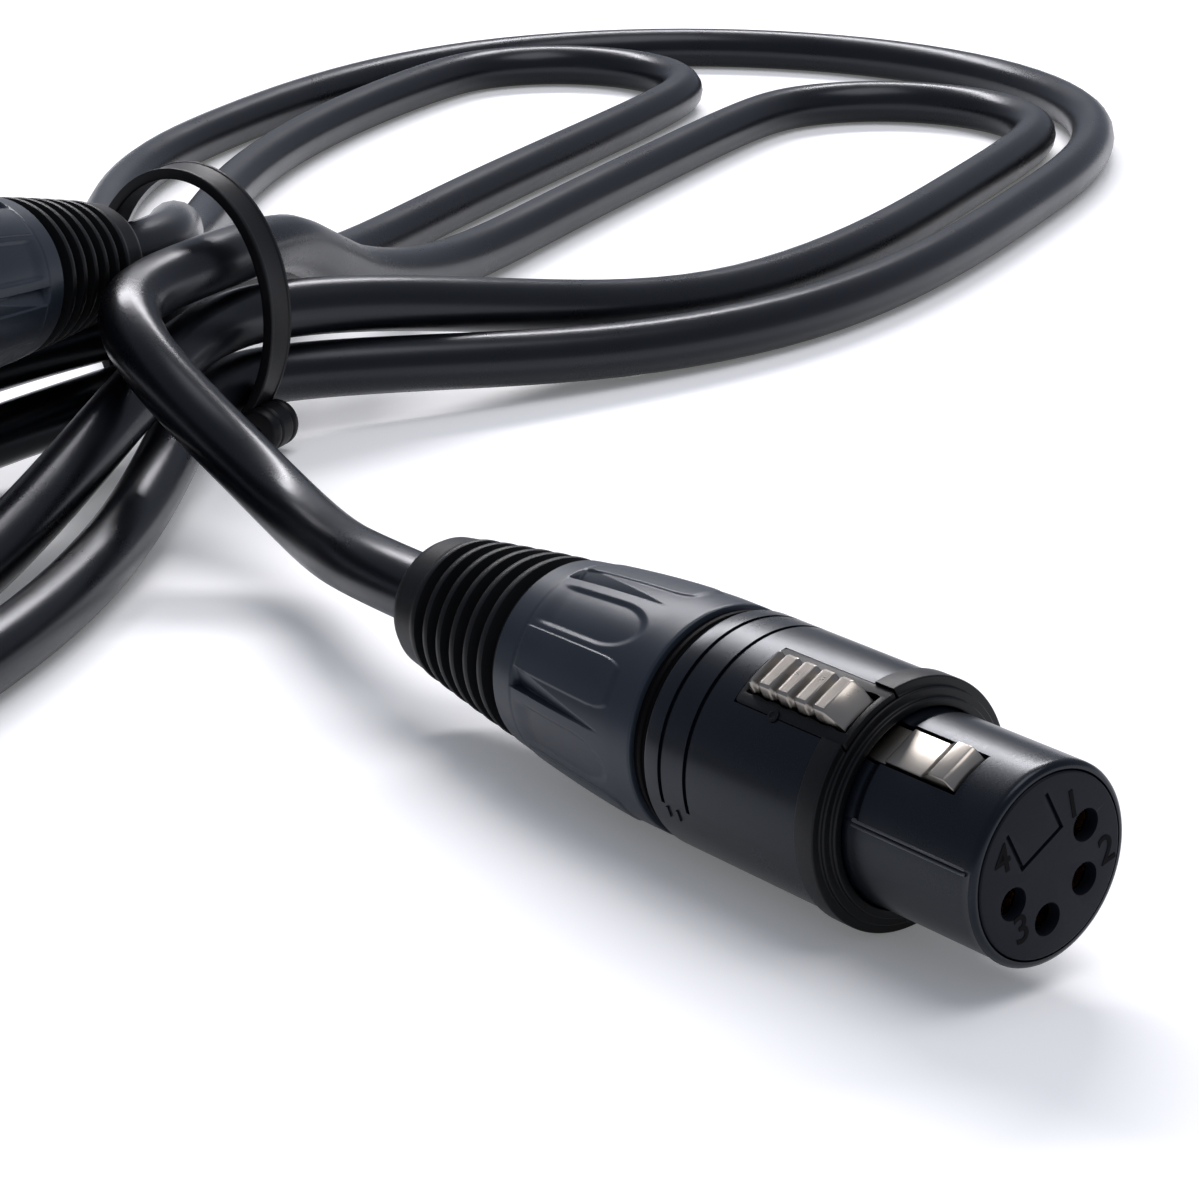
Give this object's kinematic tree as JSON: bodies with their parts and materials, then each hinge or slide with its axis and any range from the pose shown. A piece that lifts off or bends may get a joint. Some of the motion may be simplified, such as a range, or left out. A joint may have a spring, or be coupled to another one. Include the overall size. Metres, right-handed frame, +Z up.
{
  "type": "xlr cable coil",
  "caption": "Balanced audio cable wound into a hank and tied, with a latching female and a male connector.",
  "frame": {"origin": "centre of the two connectors' bounding box, on the surface they lie on", "axes": "+Z up, +Y from the female connector to the male connector, +X from the male connector's mouth to its boot"},
  "size_m": [0.4357, 0.2169, 0.0395],
  "materials": {
    "satin_black_metal": "satin",
    "gold_plated_brass": "polished",
    "silver_plated_brass": "polished",
    "spring_steel": "satin",
    "nickel": "satin",
    "pin_steel": "satin",
    "black_plastic": "matte",
    "dark_bushing_plastic": "satin",
    "pale_clamp_plastic": "matte",
    "black_rubber": "matte",
    "core_insulation": "gloss",
    "cable_jacket": "gloss",
    "tie_fabric": "satin"
  },
  "bodies": {
    "cable_set": {"female_shell": "satin_black_metal", "female_collar": "satin_black_metal", "female_insert": "black_plastic", "female_contact_1": "gold_plated_brass", "female_contact_2": "gold_plated_brass", "female_contact_3": "gold_plated_brass", "female_contact_4": "gold_plated_brass", "female_ground_contact": "spring_steel", "latch_pin": "pin_steel", "latch_spring": "spring_steel", "latch_carrier": "black_plastic", "female_gap_ring": "black_rubber", "female_clamp": "pale_clamp_plastic", "female_bushing": "dark_bushing_plastic", "female_boot": "black_rubber", "female_cable_tail": "cable_jacket", "female_wires": "core_insulation", "male_shell": "satin_black_metal", "male_insert": "black_plastic", "male_pin_1": "silver_plated_brass", "male_pin_2": "silver_plated_brass", "male_pin_3": "silver_plated_brass", "male_pin_4": "silver_plated_brass", "male_ground_contact": "spring_steel", "male_gap_ring": "black_rubber", "male_clamp": "pale_clamp_plastic", "male_bushing": "dark_bushing_plastic", "male_boot": "black_rubber", "male_cable_tail": "cable_jacket", "male_wires": "core_insulation", "cable_lead_female": "cable_jacket", "cable_hank": "cable_jacket", "cable_lead_male": "cable_jacket", "tie_strap": "tie_fabric", "tie_head": "tie_fabric"},
    "latch": {"latch_lever": "nickel"}
  },
  "joints": [
    {"name": "latch_press", "type": "hinge", "parent": "cable_set", "child": "latch", "pos_m": [-0.02511, -0.04339, 0.01586], "axis": [0.8001, -0.3314, 0.5], "range_deg": [0, 4.5], "stiffness_Nm_per_rad": 0.4, "springref_deg": -2.86}
  ]
}
